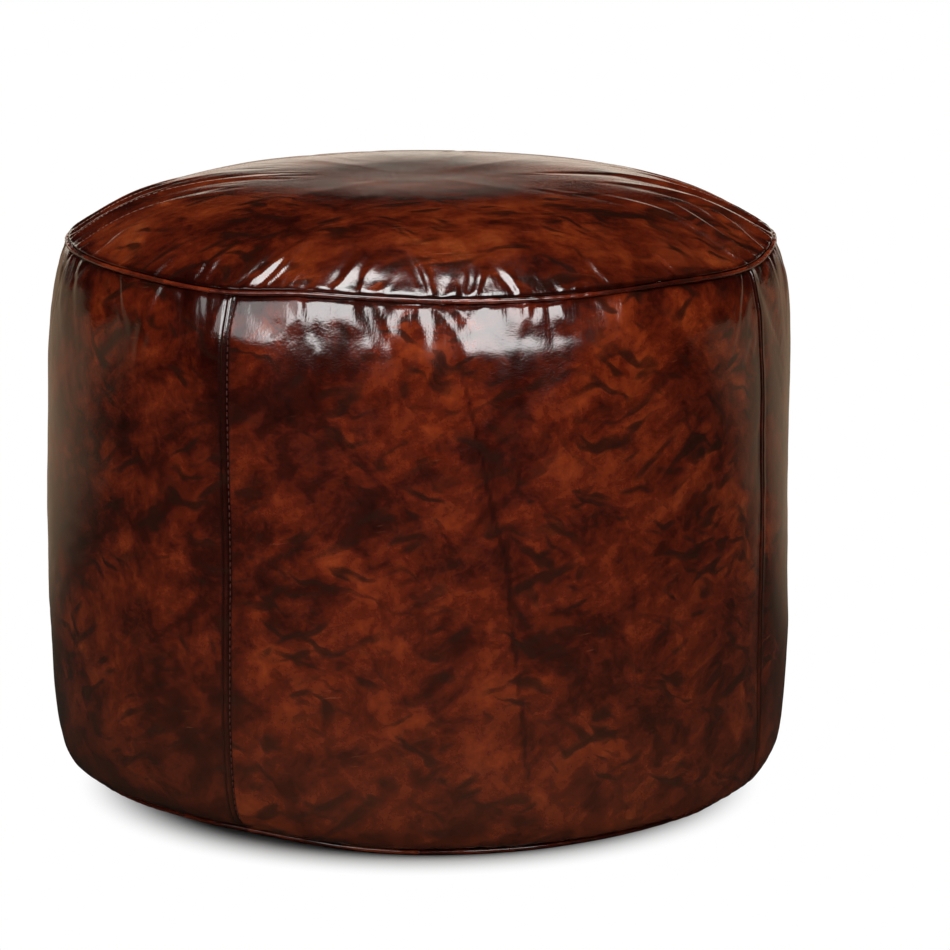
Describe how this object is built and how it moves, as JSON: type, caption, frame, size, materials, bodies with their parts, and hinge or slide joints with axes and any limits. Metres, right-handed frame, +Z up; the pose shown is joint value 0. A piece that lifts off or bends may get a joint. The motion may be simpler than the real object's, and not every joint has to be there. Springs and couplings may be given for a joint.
{
  "type": "pouf",
  "caption": "Round stuffed leather pouf: crowned top, sewn side panels, piped top and bottom edges, and a zip in the base.",
  "frame": {"origin": "on the floor, under the middle of the base", "axes": "+Z up; -Y is the front of the widest view, with a vertical seam 29 degrees to its left; +X right, along the zip"},
  "size_m": [0.5594, 0.5594, 0.4572],
  "materials": {
    "leather": "glazed and hand burnished, mottled from near black to red brown",
    "welt_leather": "glazed, rubbed lighter along the ridge",
    "thread": "waxed thread, dark brown",
    "cotton_cord": "twisted cotton, undyed",
    "zip_tape": "woven tape, dark brown",
    "brass": "antique brass, satin",
    "calico": "plain woven cotton, undyed",
    "stuffing": "loose cotton and wool filling"
  },
  "bodies": {
    "pouf": {"top_panel": "leather", "side_panel_front": "leather", "side_panel_right": "leather", "side_panel_back": "leather", "side_panel_left": "leather", "bottom_panel_front": "leather", "bottom_panel_back": "leather", "top_welt": "welt_leather", "bottom_welt": "welt_leather", "top_welt_cord": "cotton_cord", "bottom_welt_cord": "cotton_cord", "top_seam_thread": "thread", "bottom_seam_thread": "thread", "side_seam_thread_front_left": "thread", "side_seam_thread_front_right": "thread", "side_seam_thread_back_right": "thread", "side_seam_thread_back_left": "thread", "zipper_tape_front": "zip_tape", "zipper_tape_back": "zip_tape", "zipper_teeth_front": "brass", "zipper_teeth_back": "brass", "zipper_top_stop_front": "brass", "zipper_top_stop_back": "brass", "zipper_bottom_stop": "brass", "zipper_stitching_front": "thread", "zipper_stitching_back": "thread", "liner_top": "calico", "liner_side": "calico", "liner_bottom": "calico", "stuffing": "stuffing"},
    "zip_slider": {"zipper_slider": "brass"},
    "zip_pull": {"zipper_pull": "brass"}
  },
  "joints": [
    {"name": "zip_slide", "type": "slide", "parent": "pouf", "child": "zip_slider", "axis": [1, 0, 0], "range_m": [-0.36, 0]},
    {"name": "pull_swing", "type": "hinge", "parent": "zip_slider", "child": "zip_pull", "pos_m": [0.18, 0, 0.0032], "axis": [0, 1, 0], "range_deg": [-180, 0]}
  ]
}
